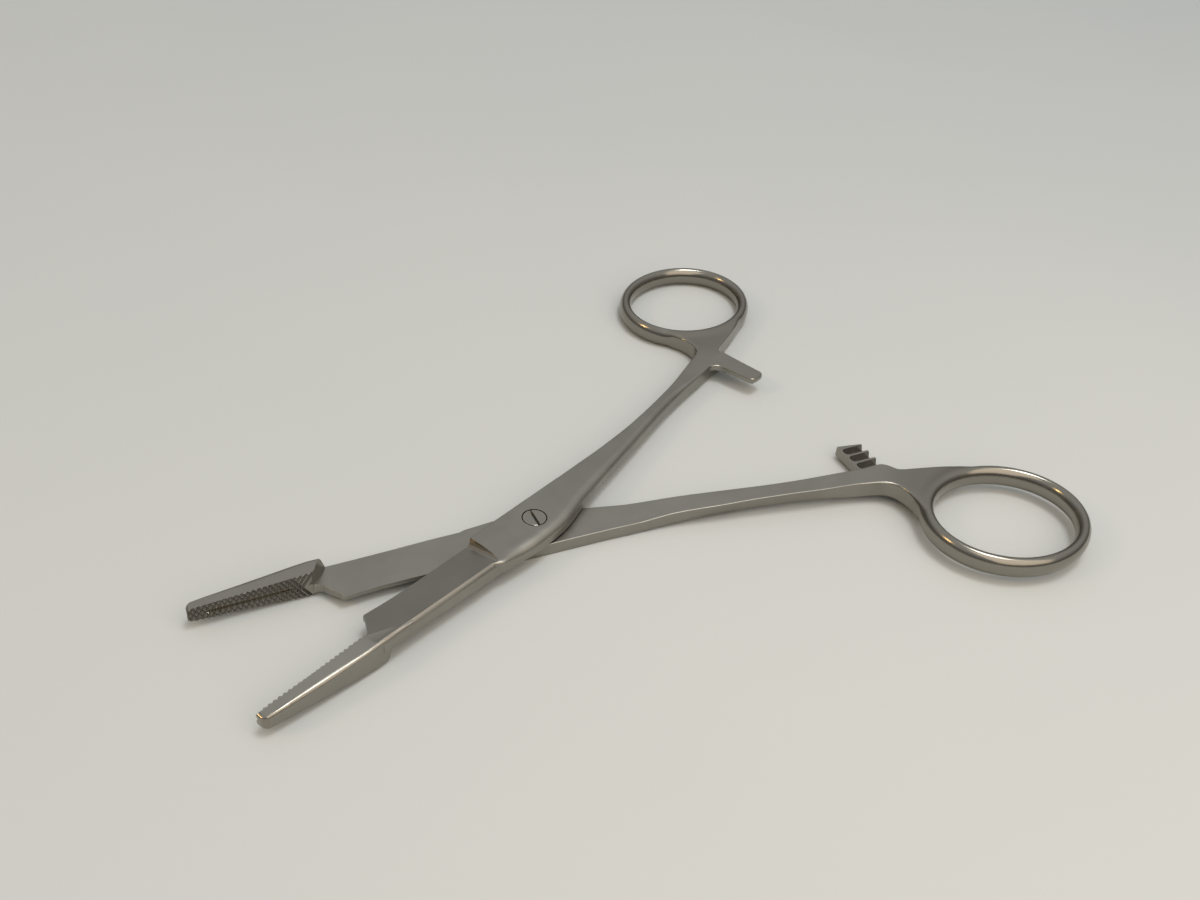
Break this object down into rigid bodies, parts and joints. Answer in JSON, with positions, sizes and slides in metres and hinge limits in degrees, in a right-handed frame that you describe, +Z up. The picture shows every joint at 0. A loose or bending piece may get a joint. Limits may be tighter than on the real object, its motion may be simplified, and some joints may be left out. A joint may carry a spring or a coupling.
{
  "type": "needle holder",
  "caption": "Ring-handled surgical needle holder with serrated jaws, suture scissor blades behind them, a lap joint with a slotted screw and a ratchet.",
  "frame": {"origin": "on the pivot axis, at the flat underside of the screw and the lower half, which is the plane that the instrument lies on", "axes": "+X from the pivot towards the finger rings, midway between the two halves; +Z up along the pivot axis, out of the screw's slotted head; the upper half's ring is on +Y"},
  "size_m": [0.1321, 0.1058, 0.0048],
  "materials": {
    "satin_steel": "satin",
    "satin_steel_lower": "satin",
    "screw_steel": "fine ground"
  },
  "bodies": {
    "lower": {"lower_half": "satin_steel_lower", "pivot_screw": "screw_steel"},
    "upper": {"upper_half": "satin_steel"}
  },
  "joints": [
    {"name": "pivot", "type": "hinge", "parent": "lower", "child": "upper", "pos_m": [0, 0, 0.0024], "axis": [0, 0, 1], "range_deg": [-23.6, 31]}
  ]
}
